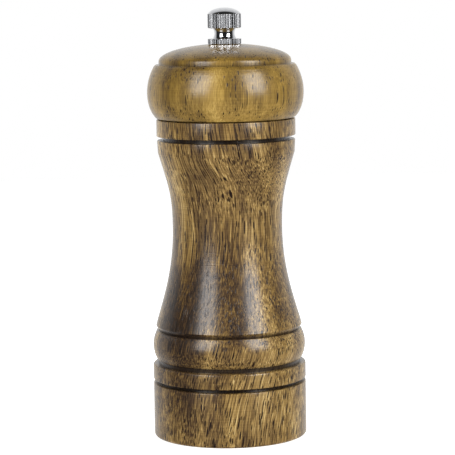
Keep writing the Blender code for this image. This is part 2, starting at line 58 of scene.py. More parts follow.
body_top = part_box("body")[1].z / MM
foot_radius = 25.3
foot_edge = 1.0
collar_radius = 22.85
collar_height = 5.5
socket_radius = 15.0
socket_depth = 10.2
chamber_radius = 13.0
grinder_bore_radius = 17.0
grinder_bore_height = 26.0
ring_recess_radius = 21.2
ring_recess_height = 2.7
turned_edge = 0.3


def oval(centre, width, height, start, end, steps):
    """Points (radius, height) along an upright oval, between two angles in degrees."""
    angles = [radians(start + (end - start) * i / steps) for i in range(steps + 1)]
    return [(centre[0] + width * cos(a), centre[1] + height * sin(a)) for a in angles]


def swelling(radius, top, bottom, drop, steps):
    """Points down a round swelling that falls by drop at its top and its bottom."""
    half = (top - bottom) / 2
    curve = (half**2 + drop**2) / (2 * drop)
    points = []
    for i in range(steps + 1):
        height = half * (1 - 2 * i / steps)
        points.append((radius - curve + sqrt(curve**2 - height**2), (top + bottom) / 2 + height))
    return points


def sweep(rim, lean, waist, pulls, steps):
    """Points between a rim, where the curve leans, and a waist, where it is upright."""
    rise = waist[1] - rim[1]
    handles = (
        rim,
        (rim[0] + lean * pulls[0] * rise, rim[1] + pulls[0] * rise),
        (waist[0], waist[1] - pulls[1] * rise),
        waist,
    )
    points = []
    for i in range(steps + 1):
        t = i / steps
        weights = ((1 - t) ** 3, 3 * t * (1 - t) ** 2, 3 * t * t * (1 - t), t**3)
        points.append(tuple(sum(w * h[k] for w, h in zip(weights, handles)) for k in (0, 1)))
    return points


def turned_corner(radius, height, edge, above, steps=4):
    """A rounded outer corner: above is True where the corner is the top of a step."""
    if above:
        return oval((radius - edge, height - edge), edge, edge, 90, 0, steps)
    return oval((radius - edge, height + edge), edge, edge, 0, -90, steps)


def only(thing):
    """Leaves one object selected and active."""
    bpy.ops.object.select_all(action="DESELECT")
    thing.select_set(True)
    bpy.context.view_layer.objects.active = thing


smooth_angle = 35


def turn(name, outline, steps, closed=True, smooth=smooth_angle):
    """Draws a circle up into a turned piece, ring by ring, through an outline's points.

    A point is (radius, height). A closed outline comes back round to its start. Any other ends
    on the axis, and starts with a flat end.
    """
    bpy.ops.object.select_all(action="DESELECT")
    radius, height = outline[0]
    bpy.ops.mesh.primitive_circle_add(
        vertices=steps, radius=radius * MM, location=(0, 0, height * MM)
    )
    piece = bpy.context.object
    piece.name = name
    piece.data.name = name
    bpy.ops.object.transform_apply(location=True, rotation=True, scale=True)
    bpy.ops.object.mode_set(mode="EDIT")
    bpy.ops.mesh.select_mode(type="EDGE")
    bpy.ops.mesh.select_all(action="SELECT")
    for next_radius, next_height in outline[1:]:
        bpy.ops.mesh.extrude_edges_move(
            TRANSFORM_OT_translate={"value": (0, 0, (next_height - height) * MM)}
        )
        if next_radius == 0:
            bpy.ops.mesh.merge(type="CENTER")
        elif next_radius != radius:
            share = next_radius / radius
            bpy.ops.transform.resize(value=(share, share, 1), center_override=(0, 0, 0))
        radius, height = next_radius, next_height
    bpy.ops.mesh.select_all(action="DESELECT")
    bpy.ops.mesh.select_non_manifold()
    if closed:
        bpy.ops.mesh.bridge_edge_loops()
    else:
        bpy.ops.mesh.edge_face_add()
    bpy.ops.mesh.select_all(action="SELECT")
    bpy.ops.mesh.remove_doubles(threshold=1e-7)
    bpy.ops.mesh.normals_make_consistent(inside=False)
    bpy.ops.object.mode_set(mode="OBJECT")
    bpy.ops.object.shade_smooth_by_angle(angle=radians(smooth))
    return piece


collar_bottom = body_top - collar_height
outline = turned_corner(collar_radius, body_top, turned_edge, True)
outline += turned_corner(collar_radius, collar_bottom, turned_edge, False)
# the neck groove under the collar, and the shoulder below it
neck_groove_radius = 20.7
neck_groove_width = 1.3
shoulder_radius = 22.7
shoulder_height = 4.1
shoulder_top = collar_bottom - neck_groove_width
shoulder_bottom = shoulder_top - shoulder_height
outline += [(neck_groove_radius, collar_bottom), (neck_groove_radius, shoulder_top)]
outline += turned_corner(shoulder_radius, shoulder_top, turned_edge, True)
# the long hollow from the shoulder down to the waist, and the flare from there to the lip
hollow_rim = (22.5, shoulder_bottom)
hollow_lean = 0.3
hollow_pulls = (0.47, 0.41)
waist = (18.1, shoulder_bottom - 25.0)
lip_radius = 24.1
lip_top = 37.1
lip_edge = 0.12
flare_lean = -0.26
flare_pulls = (0.22, 0.46)
outline += sweep(hollow_rim, hollow_lean, waist, hollow_pulls, 28)
flare = sweep((lip_radius, lip_top), flare_lean, waist, flare_pulls, 36)
flare.reverse()
outline += flare[1:-1]
# the lip, the sharp groove under it, and the bead
bead_radius = 25.17
bead_top, bead_bottom = 35.3, 25.8
bead_drop = 1.2
lip_groove = (23.3, bead_top + 0.3)
outline += turned_corner(lip_radius, lip_top, lip_edge, True, 2)[1:]
outline += [lip_groove]
outline += swelling(bead_radius, bead_top, bead_bottom, bead_drop, 20)
# the groove under the bead, and the flat ring
bead_groove_radius = 23.5
ring_top, ring_bottom = 24.3, 19.2
ring_edge = 0.6
bead_groove_top, bead_groove_bottom = bead_bottom - 0.25, ring_top + 0.2
outline += [(bead_groove_radius, bead_groove_top), (bead_groove_radius, bead_groove_bottom)]
outline += turned_corner(foot_radius, ring_top, ring_edge, True)
outline += turned_corner(foot_radius, ring_bottom, turned_edge, False)
# the groove round the top of the base, and the base down to the foot
base_groove_radius = 23.0
base_top = 18.0
outline += [(base_groove_radius, ring_bottom), (base_groove_radius, base_top)]
outline += turned_corner(foot_radius, base_top, turned_edge, True)
outline += [(foot_radius, foot_edge * k) for k in (8, 3, 1.4)]
outline += oval((foot_radius - foot_edge, foot_edge), foot_edge, foot_edge, 0, -90, 5)
outline += [
    (ring_recess_radius + turned_edge, 0),
    (ring_recess_radius, turned_edge),
    (ring_recess_radius, ring_recess_height),
    (grinder_bore_radius, ring_recess_height),
    (grinder_bore_radius, grinder_bore_height),
    (chamber_radius, grinder_bore_height),
    (chamber_radius, body_top - socket_depth),
    (socket_radius, body_top - socket_depth),
    (socket_radius, body_top - turned_edge),
    (socket_radius + turned_edge, body_top),
]
turned_steps = 128
body = turn("turned_body", outline, turned_steps)


def screw_places(pitch, first):
    """The centres of three screws on a circle, the first at an angle in degrees."""
    angles = [radians(first + 120 * i) for i in range(3)]
    return [(pitch * cos(a), pitch * sin(a)) for a in angles]


def cut(piece, bit, operation="DIFFERENCE"):
    """Takes a bit out of a piece, or joins it on, and uses the bit up."""
    only(piece)
    step = piece.modifiers.new(bit.name, "BOOLEAN")
    step.operation = operation
    step.solver = "EXACT"
    step.object = bit
    bpy.ops.object.modifier_apply(modifier=step.name)
    bpy.data.objects.remove(bit)
    bpy.ops.object.shade_smooth_by_angle(angle=radians(smooth_angle))


def drill(piece, places, radius, bottom, top):
    """Bores round holes upwards into a piece."""
    for x, y in places:
        bpy.ops.object.select_all(action="DESELECT")
        bpy.ops.mesh.primitive_cylinder_add(
            vertices=32,
            radius=radius * MM,
            depth=(top - bottom) * MM,
            location=(x * MM, y * MM, (top + bottom) / 2 * MM),
        )
        cut(piece, bpy.context.object)


# pilot holes for the screws of the retaining ring
pilot_radius = 1.15
ring_screw_pitch = 19.1
ring_screws = screw_places(ring_screw_pitch, 30)
drill(body, ring_screws, pilot_radius, 2.0, 9.0)


def linear(code):
    """A colour from its sRGB hex code, as Blender's linear red, green, blue and alpha."""
    parts = [int(code[i : i + 2], 16) / 255 for i in (1, 3, 5)]
    turned = [c / 12.92 if c <= 0.04045 else ((c + 0.055) / 1.055) ** 2.4 for c in parts]
    return (*turned, 1)


def add(tree, kind, inputs=None, stops=None, curve=None, **settings):
    """Adds a node with its settings, its values and links, and the stops of its ramp or curve."""
    made = tree.nodes.new(kind)
    for key, value in settings.items():
        setattr(made, key, value)
    for key, value in (inputs or {}).items():
        if isinstance(value, bpy.types.NodeSocket):
            tree.links.new(value, made.inputs[key])
        else:
            made.inputs[key].default_value = value
    if stops:
        ramp = made.color_ramp.elements
        while len(ramp) < len(stops):
            ramp.new(1)
        for element, (place, code) in zip(ramp, stops):
            element.position = place
            element.color = linear(code)
    if curve:
        points = made.mapping.curves[0].points
        while len(points) < len(curve):
            points.new(1, 1)
        for point, place in zip(points, curve):
            point.location = place
        made.mapping.update()
    return made


def new_material(name):
    """A material with its node tree and its shader."""
    made = bpy.data.materials.new(name)
    made.use_nodes = True
    return made, made.node_tree, made.node_tree.nodes["Principled BSDF"]


def lacquered_hardwood(name, stain, offset, bow, streaks, pores, dark_patches=()):
    """Open-pored hardwood, turned, stained a golden olive brown and sprayed with satin lacquer.

    The pores are long tubes along the grain, so they show as dashes on an upright face, as short
    marks on a slope and as dots on end grain. They hold the most stain. The lacquer fills them
    almost level, and gives soft highlights. The offset is the blank's place in the tree, in mm.
    """
    material, tree, shader = new_material(name)
    place = add(tree, "ShaderNodeTexCoord").outputs["Object"]
    values = {0: place, "Scale": 1 / MM}
    in_mm = add(tree, "ShaderNodeVectorMath", values, operation="SCALE").outputs[0]
    height = add(tree, "ShaderNodeSeparateXYZ", {0: in_mm}).outputs["Z"]

    # the grain leans and bows up the mill, by up to 14 mm, and sways by up to 1.5 mm
    mill_height = 142.0
    bow_right, bow_back = -20.0, -4.0
    values = {0: height, 1: mill_height}
    share = add(tree, "ShaderNodeMath", values, operation="DIVIDE").outputs[0]
    bowed = add(tree, "ShaderNodeFloatCurve", {"Value": share}, curve=bow).outputs[0]
    values = {0: bowed, 1: bow_right}
    drift = add(tree, "ShaderNodeMath", values, operation="MULTIPLY").outputs[0]
    values = {0: bowed, 1: bow_back}
    side_drift = add(tree, "ShaderNodeMath", values, operation="MULTIPLY").outputs[0]
    lean = add(tree, "ShaderNodeCombineXYZ", {"X": drift, "Y": side_drift}).outputs[0]
    leant = add(tree, "ShaderNodeVectorMath", {0: in_mm, 1: lean}, operation="ADD").outputs[0]
    moved = add(tree, "ShaderNodeVectorMath", {0: leant, 1: offset}, operation="ADD").outputs[0]
    values = {"Vector": moved, "Scale": (0.12, 0.12, 0.04)}
    slow = add(tree, "ShaderNodeMapping", values).outputs[0]
    values = {"Vector": slow, "Scale": 1.0, "Detail": 2.0}
    waver = add(tree, "ShaderNodeTexNoise", values).outputs["Color"]
    values = {0: waver, 1: (3, 3, 0), 2: (-1.5, -1.5, 0)}
    sway = add(tree, "ShaderNodeVectorMath", values, operation="MULTIPLY_ADD").outputs[0]
    grain = add(tree, "ShaderNodeVectorMath", {0: moved, 1: sway}, operation="ADD").outputs[0]

    # growth rings, each 4.6 mm from its palest wood to its darkest, round a pith well outside
    # the blank, with a crowd of pores where each year's growth starts
    ring_width = 4.6
    values = {"Vector": grain, "Location": (30, 46, 0), "Scale": (1, 1, 0)}
    from_pith = add(tree, "ShaderNodeMapping", values).outputs[0]
    values = {0: from_pith}
    distance = add(tree, "ShaderNodeVectorMath", values, operation="LENGTH").outputs["Value"]
    values = {0: distance, 1: ring_width}
    years = add(tree, "ShaderNodeMath", values, operation="DIVIDE").outputs[0]
    ring = add(tree, "ShaderNodeMath", {0: years, 1: 1.0}, operation="PINGPONG").outputs[0]

    # fibres 0.4 mm wide and finer ones between them, clouds of stain about 8 mm wide, and the
    # turner's scratches a third of a millimetre apart
    noises = []
    for source, scale, detail, roughness in (
        (grain, (2.6, 2.6, 0.035), 3.0, 0.7),
        (grain, (0.13, 0.13, 0.03), 2.0, 0.5),
        (in_mm, (0.06, 0.06, 3.0), 2.0, 0.7),
    ):
        drawn_out = add(tree, "ShaderNodeMapping", {"Vector": source, "Scale": scale}).outputs[0]
        values = {"Vector": drawn_out, "Scale": 1.0, "Detail": detail, "Roughness": roughness}
        noises.append(add(tree, "ShaderNodeTexNoise", values).outputs["Fac"])
    fibres, clouds, scratches = noises
    tone = -0.05 - streaks / 2
    for pattern, weight in ((fibres, streaks), (clouds, 0.9), (ring, 0.1), (scratches, 0.26)):
        values = {0: pattern, 1: weight, 2: tone}
        tone = add(tree, "ShaderNodeMath", values, operation="MULTIPLY_ADD").outputs[0]
    for centre, spread, depth in dark_patches:
        values = {0: in_mm, 1: centre}
        off = add(tree, "ShaderNodeVectorMath", values, operation="SUBTRACT").outputs[0]
        far = add(tree, "ShaderNodeVectorMath", {0: off, 1: spread}, operation="DIVIDE").outputs[0]
        far = add(tree, "ShaderNodeVectorMath", {0: far}, operation="LENGTH").outputs["Value"]
        values = {"Value": far, "From Min": 1.0, "From Max": 0.2, "To Max": -depth}
        patch = add(tree, "ShaderNodeMapRange", values, interpolation_type="SMOOTHSTEP").outputs[0]
        tone = add(tree, "ShaderNodeMath", {0: tone, 1: patch}, operation="ADD").outputs[0]
    wood = add(tree, "ShaderNodeValToRGB", {"Fac": tone}, stops=stain).outputs["Color"]

    # the real pores are about 0.2 mm wide, too fine to show, so these are 0.3 mm to 0.5 mm wide,
    # and 2 mm, 4 mm or 13 mm long; each layer is the cell's width and length, and the radius of
    # the pore in its cell
    layers = ((0.85, 9.0, 0.19, 0.29), (0.85, 5.0, 0.17, 0.28), (0.85, 32.0, 0.16, 0.26))
    crowd = pores
    for pattern, weight in ((clouds, -1.0), (ring, -0.5)):
        values = {0: pattern, 1: weight, 2: crowd}
        crowd = add(tree, "ShaderNodeMath", values, operation="MULTIPLY_ADD").outputs[0]
    dark = None
    for width, length, thin, thick in layers:
        spacing = (1 / width, 1 / width, 1 / length)
        values = {"Vector": grain, "Location": (length, width, 0), "Scale": spacing}
        cells = add(tree, "ShaderNodeMapping", values).outputs[0]
        tubes = add(tree, "ShaderNodeTexVoronoi", {"Vector": cells, "Scale": 1.0}).outputs
        chance = add(tree, "ShaderNodeSeparateColor", {"Color": tubes["Color"]}).outputs
        values = {"Value": chance["Green"], "To Min": thin, "To Max": thick}
        reach = add(tree, "ShaderNodeMapRange", values).outputs[0]
        values = {0: reach, 1: tubes["Distance"]}
        inside = add(tree, "ShaderNodeMath", values, operation="SUBTRACT").outputs[0]
        values = {"Value": inside, "From Min": 0.0, "From Max": 0.04}
        mark = add(tree, "ShaderNodeMapRange", values).outputs[0]
        values = {0: crowd, 1: chance["Red"]}
        shown = add(tree, "ShaderNodeMath", values, operation="GREATER_THAN").outputs[0]
        mark = add(tree, "ShaderNodeMath", {0: mark, 1: shown}, operation="MULTIPLY").outputs[0]
        if dark:
            mark = add(tree, "ShaderNodeMath", {0: dark, 1: mark}, operation="MAXIMUM").outputs[0]
        dark = mark
    values = {"Factor": dark, 6: wood, 7: linear("#180b05")}
    filled = add(tree, "ShaderNodeMix", values, data_type="RGBA").outputs[2]

    # stain gathers in the turned grooves, and painted shade adds to it, leaving them nearly black
    groove_stain_and_shade = add(tree, "ShaderNodeAttribute", attribute_name="groove").outputs["Fac"]
    values = {"Factor": groove_stain_and_shade, 6: filled, 7: linear("#1a100a")}
    stained_and_shaded = add(tree, "ShaderNodeMix", values, data_type="RGBA").outputs[2]
    tree.links.new(stained_and_shaded, shader.inputs["Base Color"])

    # the pores and the scratches are a little below the surface
    values = {0: dark, 1: -1.0, 2: scratches}
    relief = add(tree, "ShaderNodeMath", values, operation="MULTIPLY_ADD").outputs[0]
    values = {"Height": relief, "Strength": 0.6, "Distance": 0.04 * MM}
    bump = add(tree, "ShaderNodeBump", values).outputs[0]
    tree.links.new(bump, shader.inputs["Normal"])
    tree.links.new(bump, shader.inputs["Coat Normal"])
    values = {"Value": fibres, "From Min": 0.3, "From Max": 0.7, "To Min": 0.62, "To Max": 0.5}
    rough = add(tree, "ShaderNodeMapRange", values).outputs[0]
    tree.links.new(rough, shader.inputs["Roughness"])
    shader.inputs["Specular IOR Level"].default_value = 0.12
    shader.inputs["Coat Weight"].default_value = 0.9
    shader.inputs["Coat Roughness"].default_value = 0.24
    shader.inputs["Coat IOR"].default_value = 1.5
    return material


def stain_and_shade_grooves(piece, grooves):
    """Marks the skin in each groove, given as (lowest, highest, lip radius), for stain and painted
    shade.
    """
    most_stain_and_shade = 0.9
    full_depth = 0.6
    slack = 0.01
    marks = piece.data.attributes.new("groove", "FLOAT", "POINT")
    for vert, mark in zip(piece.data.vertices, marks.data):
        radius, height = vert.co.xy.length / MM, vert.co.z / MM
        for lowest, highest, lip in grooves:
            if lowest - slack < height < highest + slack and radius < lip:
                mark.value = min(most_stain_and_shade, (lip - radius) / full_depth)


def fit(piece, node, rides_on, material):
    """Gives a finished piece its material and puts it in the place of its node."""
    piece.data.materials.clear()
    piece.data.materials.append(material)
    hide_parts(node)
    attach(piece, rides_on)


# the body's four grooves are darkened with stain and with painted shade
stain_and_shade_grooves(
    body,
    [
        (shoulder_top, collar_bottom, 22.6),
        (bead_top - 0.1, lip_top - lip_edge, 23.9),
        (ring_top - 0.1, bead_bottom + 0.1, 24.2),
        (base_top, ring_bottom, 25.0),
    ],
)
# the bow of the grain up the mill: shares of its height, and of 20 mm to the right
body_bow = [
    (0.0, 0.1),
    (0.13, 0.27),
    (0.26, 0.52),
    (0.39, 0.64),
    (0.49, 0.7),
    (0.58, 0.66),
    (0.66, 0.46),
    (0.76, 0.36),
    (1.0, 0.3),
]
# darker heartwood, most of it on the left of the flare and the foot: where each patch lies,
# how far it spreads, and how dark it is
heartwood = [
    ((-17, -17, 47), (17, 17, 24), 0.42),
    ((1, -21, 46), (12, 12, 22), 0.38),
    ((-18, -18, 22), (22, 20, 30), 0.18),
    ((-3, -17, 72), (14, 12, 34), 0.13),
    ((-2, -22, 104), (30, 14, 14), 0.1),
]
body_stain = [
    (0.0, "#1e130a"),
    (0.25, "#3b2916"),
    (0.5, "#604924"),
    (0.75, "#8b6f3b"),
    (1.0, "#b59c66"),
]
body_wood = lacquered_hardwood(
    "stained_lacquered_hardwood_body",
    stain=body_stain,
    offset=(3.0, 11.0, 0.0),
    bow=body_bow,
    streaks=1.9,
    pores=1.8,
    dark_patches=heartwood,
)
fit(body, "body", "mill_body", body_wood)


# Grinder housing, with the stator and the bearing bush in it. The housing is moulded in white
# acetal and sits in the foot's bore. The stator is a sintered alumina ring with slanted teeth,
# and the bush is turned from bearing bronze and pressed into the hub of the three-armed bridge.


def speckled(name, grain, dull, bright, smooth, rough, relief):
    """A material with a fine grain: two colours, two roughnesses and a low relief.

    The grain is the number of specks to the metre each way, and the relief is in millimetres.
    """
    material, tree, shader = new_material(name)
    place = add(tree, "ShaderNodeTexCoord").outputs["Object"]
    sized = add(tree, "ShaderNodeMapping", {"Vector": place, "Scale": grain}).outputs[0]
    values = {"Vector": sized, "Scale": 1.0, "Detail": 4.0, "Roughness": 0.6}
    specks = add(tree, "ShaderNodeTexNoise", values).outputs["Fac"]
    tint = add(tree, "ShaderNodeValToRGB", {"Fac": specks}, stops=[(0.3, dull), (0.7, bright)])
    values = {"Value": specks, "From Min": 0.3, "From Max": 0.7, "To Min": rough, "To Max": smooth}
    gloss = add(tree, "ShaderNodeMapRange", values)
    values = {"Height": specks, "Strength": 0.3, "Distance": relief * MM}
    bump = add(tree, "ShaderNodeBump", values)
    tree.links.new(tint.outputs["Color"], shader.inputs["Base Color"])
    tree.links.new(gloss.outputs[0], shader.inputs["Roughness"])
    tree.links.new(bump.outputs[0], shader.inputs["Normal"])
    return material, shader


def finish_node(name, material):
    """Gives a node of the frame its material."""
    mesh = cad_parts[name].data
    mesh.materials.clear()
    mesh.materials.append(material)


# moulded acetal: smooth, waxy and faintly clouded, in patches of about 5 mm
acetal, shader = speckled(
    "moulded_acetal", (220, 220, 220), "#d9d7cf", "#e6e4dd", smooth=0.32, rough=0.45, relief=0.01
)
shader.inputs["IOR"].default_value = 1.48
finish_node("stator_housing", acetal)
# sintered alumina: off-white and matt, with a grit of about 0.2 mm
alumina, shader = speckled(
    "sintered_alumina", (5000, 5000, 5000), "#cfcabd", "#ebe7dd", smooth=0.4, rough=0.6, relief=0.02
)
shader.inputs["IOR"].default_value = 1.76
finish_node("stator", alumina)
# sintered bronze: dull gold, with open pores about 0.25 mm apart
bronze, shader = speckled(
    "sintered_bearing_bronze",
    (4000, 4000, 4000),
    "#6b4d26",
    "#a98450",
    smooth=0.32,
    rough=0.5,
    relief=0.02,
)
shader.inputs["Metallic"].default_value = 1.0
finish_node("bearing_bush", bronze)


# Thrust washer and spring. The washer is stamped from zinc-plated steel with a square hole, so
# that it turns with the shaft, and the spring between it and the rotor is coiled music wire.


def plated_steel(name, lines, dull="#a9acb0", bright="#d3d5d8"):
    """Zinc-plated steel, satin over the lines that stamping, drawing or turning left in it."""
    material, shader = speckled(name, lines, dull, bright, smooth=0.2, rough=0.38, relief=0.01)
    shader.inputs["Metallic"].default_value = 1.0
    return material


stamped_steel = plated_steel("stamped_zinc_plated_steel", (300, 4000, 300))
finish_node("thrust_washer", stamped_steel)

# four turns of wire, its top against the washer and its foot on the rotor's hub
spring_low, spring_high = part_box("spring")
wire_radius = 0.45 * MM
wire_sides = 16
spring_turns = 4
steps_per_turn = 48
coil_radius = spring_high.x - wire_radius
bpy.ops.object.select_all(action="DESELECT")
bpy.ops.mesh.primitive_circle_add(
    vertices=wire_sides,
    radius=wire_radius,
    location=(coil_radius, 0, spring_low.z + wire_radius),
    rotation=(pi / 2, 0, 0),
)
coil = bpy.context.object
coil.name = "coil_spring"
coil.data.name = "coil_spring"
bpy.ops.object.transform_apply(location=True, rotation=True, scale=True)
winding = coil.modifiers.new("winding", "SCREW")
winding.iterations = spring_turns
winding.screw_offset = (spring_high.z - spring_low.z - 2 * wire_radius) / spring_turns
winding.steps = steps_per_turn
winding.render_steps = steps_per_turn
winding.use_merge_vertices = False
bpy.ops.object.modifier_apply(modifier=winding.name)
bpy.ops.object.mode_set(mode="EDIT")
bpy.ops.mesh.select_mode(type="EDGE")
bpy.ops.mesh.select_all(action="DESELECT")
bpy.ops.mesh.select_non_manifold()
bpy.ops.mesh.edge_face_add()
bpy.ops.mesh.select_all(action="SELECT")
bpy.ops.mesh.normals_make_consistent(inside=False)
bpy.ops.object.mode_set(mode="OBJECT")
bpy.ops.object.shade_smooth_by_angle(angle=radians(smooth_angle))
# music wire is drawn and left bare, so it is darker than plated steel, with lines along it
music_wire = plated_steel("drawn_music_wire", (900, 900, 6000), "#55585c", "#8b8f94")
coil.data.materials.clear()
coil.data.materials.append(music_wire)
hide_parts("spring")
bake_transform(coil)


# Shaft. A square bar of drawn steel, with its corners eased and an M4 thread cut on each end,
# bright zinc plated. The rotor is clamped on its lower end, and the thumb nut runs on its upper.

shaft_low, shaft_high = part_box("shaft")
shaft_side = 5.0
shaft_edge = 0.3
square_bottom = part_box("rotor")[0].z / MM
square_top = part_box("head")[1].z / MM - 2.4
thread_radius = 2.0
thread_pitch = 0.7
thread_depth = 0.43
thread_sides = 36
tip_chamfer = 0.4
overlap = 2.0


def thread(piece, radius, pitch, depth):
    """Winds a right-hand V thread into the upright skin of a rod that has rings close enough."""
    least = 0.98 * radius * MM
    skin = [vert for vert in piece.data.vertices if vert.co.xy.length > least]
    for vert in skin:
        share = (vert.co.z / MM / pitch - atan2(vert.co.y, vert.co.x) / (2 * pi)) % 1
        vert.co.xy *= 1 - depth / radius * abs(2 * share - 1)


def upright(radius, start, end, spacing):
    """Points along an upright wall, close enough for a thread."""
    count = round(abs(end - start) / spacing)
    return [(radius, start + (end - start) * i / count) for i in range(count + 1)]


bpy.ops.object.select_all(action="DESELECT")
bpy.ops.mesh.primitive_cube_add(
    size=1,
    location=(0, 0, (square_bottom + square_top) / 2 * MM),
    scale=(shaft_side * MM, shaft_side * MM, (square_top - square_bottom) * MM),
)
shaft = bpy.context.object
shaft.name = "square_shaft"
shaft.data.name = "square_shaft"
bpy.ops.object.transform_apply(location=True, rotation=True, scale=True)
bpy.ops.object.mode_set(mode="EDIT")
bpy.ops.mesh.select_all(action="SELECT")
bpy.ops.mesh.bevel(offset=shaft_edge * MM, segments=3)
bpy.ops.object.mode_set(mode="OBJECT")
# each threaded end runs from its tip into the square bar
lower_end = (shaft_low.z / MM, square_bottom + overlap)
upper_end = (shaft_high.z / MM, square_top - overlap)
for start, end in (lower_end, upper_end):
    tip = tip_chamfer if end > start else -tip_chamfer
    outline = [(thread_radius - tip_chamfer, start)]
    outline += upright(thread_radius, start + tip, end, thread_pitch / 6)
    rod = turn("threaded_rod", outline + [(0, end)], thread_sides, closed=False)
    thread(rod, thread_radius, thread_pitch, thread_depth)
    cut(shaft, rod, "UNION")
drawn_steel = plated_steel("drawn_zinc_plated_steel", (2600, 2600, 60))
fit(shaft, "shaft", "grinder", drawn_steel)


# Rotor. A toothed cone of sintered alumina on a square-holed hub of acetal, clamped up against
# the spring by a turned washer and a hexagonal nut on the shaft's lower thread.

finish_node("rotor", alumina)
finish_node("rotor_hub", acetal)
turned_steel = plated_steel("turned_zinc_plated_steel", (700, 700, 5000))


def ring_outline(bore, rim, bottom, top, edge):
    """The outline of a flat ring with its four edges eased."""
    return [
        (bore, bottom + edge),
        (bore + edge, bottom),
        (rim - edge, bottom),
        (rim, bottom + edge),
        (rim, top - edge),
        (rim - edge, top),
        (bore + edge, top),
        (bore, top - edge),
    ]


def heights(node):
    """The lowest and highest points of a node of the frame, in millimetres."""
    low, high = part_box(node)
    return low.z / MM, high.z / MM


bottom, top = heights("rotor_washer")
nut_bore = 2.3
washer_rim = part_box("rotor_washer")[1].x / MM
washer_edge = 0.12
small_part_steps = 96
washer_shape = ring_outline(nut_bore, washer_rim, bottom, top, washer_edge)
washer = turn("turned_washer", washer_shape, small_part_steps)
fit(washer, "rotor_washer", "grinder", turned_steel)

bottom, top = heights("rotor_nut")
corner_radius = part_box("rotor_nut")[1].x / MM
bpy.ops.object.select_all(action="DESELECT")
bpy.ops.mesh.primitive_cylinder_add(
    vertices=6,
    radius=corner_radius * MM,
    depth=(top - bottom) * MM,
    location=(0, 0, (top + bottom) / 2 * MM),
    rotation=(0, 0, pi / 6),
)
hexagon = bpy.context.object
hexagon.name = "hexagonal_nut"
hexagon.data.name = "hexagonal_nut"
bpy.ops.object.transform_apply(location=True, rotation=True, scale=True)
# both faces are chamfered round, down to the hexagon's flats, and the bore is countersunk
flat_radius = corner_radius * cos(pi / 6)
chamfer_drop = 0.42
cone = [(flat_radius - 0.1, bottom), (corner_radius + 0.1, bottom + chamfer_drop)]
cone += [(corner_radius + 0.1, top - chamfer_drop), (flat_radius - 0.1, top), (0, top)]
cut(hexagon, turn("chamfers", cone, small_part_steps, closed=False), "INTERSECT")
bore = [(2.75, bottom - 0.1), (nut_bore, bottom + 0.4), (nut_bore, top - 0.3)]
bore += [(2.6, top + 0.1), (0, top + 0.1)]
cut(hexagon, turn("bore", bore, 48, closed=False))
fit(hexagon, "rotor_nut", "grinder", turned_steel)


# Retaining ring and its screws. The ring is stamped from zinc-plated steel and holds the
# grinder in the foot, with three slotted pan-head wood screws.

bottom, top = heights("retaining_ring")
ring_bore = 11.8
ring_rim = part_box("retaining_ring")[1].x / MM
stamped_edge = 0.15
screw_hole_radius = 1.3
ring = turn("flat_ring", ring_outline(ring_bore, ring_rim, bottom, top, stamped_edge), turned_steps)
drill(ring, ring_screws, screw_hole_radius, bottom - 1, top + 1)
fit(ring, "retaining_ring", "mill_body", stamped_steel)

# one screw, head down: its point, its threaded shank, a short plain neck and a domed head
bottom, top = heights("retaining_screw_1")
screw_length = top - bottom
screw_radius = 1.0
screw_pitch = 0.9
screw_depth = 0.35
head_radius = 1.7
head_height = 0.7
head_edge = 0.05
dome_side = (0.7, 0.3)
slot_width = 0.5
slot_depth = 0.35
outline = [(0.1, screw_length), (0.4, screw_length - 0.6)]
outline += upright(screw_radius, screw_length - 2, head_height + 0.8, screw_pitch / 6)
outline += [(screw_radius, head_height)]
outline += [(head_radius - head_edge, head_height), (head_radius, head_height - head_edge)]
outline += oval((head_radius - dome_side[0], dome_side[1]), *dome_side, 0, -70, 6)
outline += [(0.5, 0.005), (0, 0)]
screw = turn("pan_head_screw", outline, thread_sides, closed=False)
thread(screw, screw_radius, screw_pitch, screw_depth)
bpy.ops.object.select_all(action="DESELECT")
bpy.ops.mesh.primitive_cube_add(size=1, scale=(5 * MM, slot_width * MM, 2 * slot_depth * MM))
cut(screw, bpy.context.object)
screw.data.materials.clear()
screw.data.materials.append(turned_steel)


def drive_screws(name, node, rides_on, slots):
    """Sets a copy of the screw in each of three places, with its slot where it came to rest."""
    for number, slot_angle in enumerate(slots, 1):
        low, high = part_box(f"{node}_{number}")
        only(screw)
        bpy.ops.object.duplicate()
        copy = bpy.context.object
        copy.name = f"{name}_{number}"
        copy.data.name = copy.name
        copy.rotation_euler.z = radians(slot_angle)
        copy.location = ((low.x + high.x) / 2, (low.y + high.y) / 2, low.z)
        bpy.ops.object.transform_apply(location=True, rotation=True, scale=True)
        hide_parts(f"{node}_{number}")
        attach(copy, rides_on)


drive_screws("foot_screw", "retaining_screw", "mill_body", (20, 95, 150))


# Head. It is turned from the same stock: a flattened ball with a low dome on a step, and
# a spigot below that fits the body's socket. The shaft comes up through its middle.

head_low, head_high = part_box("head")
head_top = head_high.z / MM
spigot_bottom = head_low.z / MM
head_bottom = spigot_bottom + 7.0
ball_radius = head_high.x / MM
ball_above, ball_below = 9.3, 8.4
ball_top_drop, ball_foot_drop = 2.7, 3.0
ball_middle = head_bottom + ball_below
ledge_height = ball_middle + ball_above
ledge_radius = ball_radius - ball_top_drop
ledge_edge = 0.12
ledge_fall = 0.1
dome_radius = ledge_radius - 1.25
dome_bottom = ledge_height + 1.0
dome_rise = 5.5
spigot_radius = 14.7
spigot_edge = 0.6
shaft_hole_radius = 3.84
nut_seat_radius = 5.75

# the flat seat for the thumb nut, the dome, and the ledge round it
dome_cut = degrees(acos(nut_seat_radius / dome_radius))
outline = [(shaft_hole_radius, head_top)]
outline += oval((0, dome_bottom), dome_radius, dome_rise, dome_cut, 0, 24)
outline += [(dome_radius, ledge_height + ledge_edge), (dome_radius + ledge_edge, ledge_height)]
outline += [(ledge_radius - ledge_edge, ledge_height - ledge_fall)]
